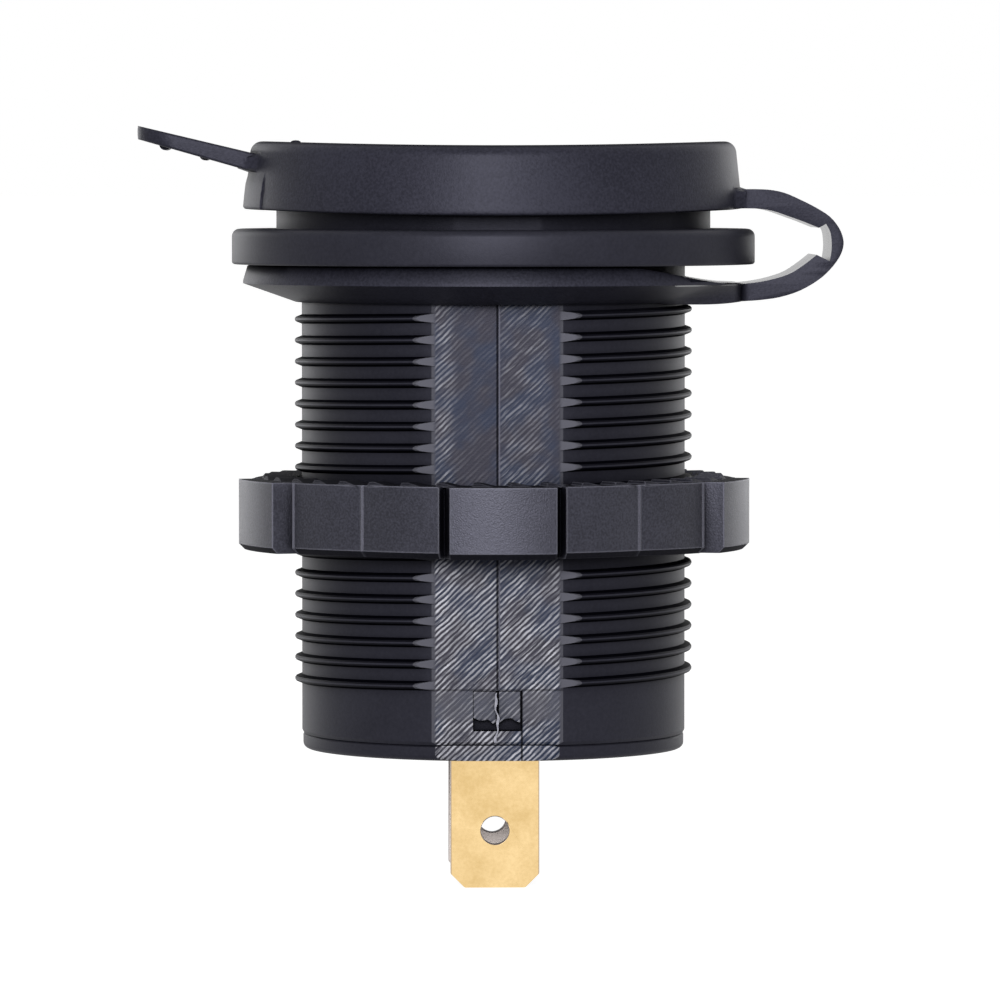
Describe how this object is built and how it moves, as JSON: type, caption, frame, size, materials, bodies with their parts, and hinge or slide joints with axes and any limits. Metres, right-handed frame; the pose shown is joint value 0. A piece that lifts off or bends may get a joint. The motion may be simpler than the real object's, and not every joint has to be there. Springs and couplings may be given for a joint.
{
  "type": "usb socket with voltmeter",
  "caption": "Round panel-mount charging socket with a voltmeter face, a threaded barrel with ring nut, flat blade terminals and a tethered rubber dust cap.",
  "frame": {"origin": "on the barrel's axis, in the plane of the flange's underside, where the tether ring clamps on the panel", "axes": "+Z out of the face along the barrel's axis, +X towards the dust cap's hinge, -Y towards one of the barrel's two flats"},
  "size_m": [0.0506, 0.0376, 0.0544],
  "materials": {
    "nylon_black": "fine grain, matt",
    "gloss_black": "polished",
    "smoked_lens": "polished",
    "display_body": "matt",
    "port_sheet": "satin",
    "port_insulator": "satin",
    "contact_gold": "polished",
    "board_green": "satin",
    "chip_black": "matt",
    "ferrite": "matt",
    "copper_wire": "enamelled",
    "capacitor_can": "satin",
    "cover_black": "fine grain, matt",
    "brass_sheet": "satin",
    "nut_black": "fine grain, matt",
    "rubber_black": "matt"
  },
  "bodies": {
    "housing": {"housing": "nylon_black", "face_plate": "gloss_black", "display_window": "smoked_lens", "led_display": "display_body", "port_shell_upper": "port_sheet", "port_shell_lower": "port_sheet", "port_tongue_upper": "port_insulator", "port_tongue_lower": "port_insulator", "port_contacts_upper": "contact_gold", "port_contacts_lower": "contact_gold", "front_board": "board_green", "driver_chip": "chip_black", "board_pins": "contact_gold", "power_board": "board_green", "regulator_chip": "chip_black", "inductor_core": "ferrite", "inductor_winding": "copper_wire", "capacitor_input": "capacitor_can", "capacitor_output": "capacitor_can", "rear_cover": "cover_black", "blade_positive": "brass_sheet", "blade_negative": "brass_sheet", "tether_ring": "rubber_black", "hinge_web": "rubber_black"},
    "nut": {"ring_nut": "nut_black"},
    "cap": {"dust_cap": "rubber_black"}
  },
  "joints": [
    {"name": "cap_hinge", "type": "hinge", "parent": "housing", "child": "cap", "pos_m": [0.0245, 0, 0.0016], "axis": [0, 1, 0], "range_deg": [0, 160], "deforming": ["hinge_web"]},
    {"name": "nut_travel", "type": "slide", "parent": "housing", "child": "nut", "axis": [0, 0, 1], "range_m": [-0.0144, 0.0115]}
  ]
}
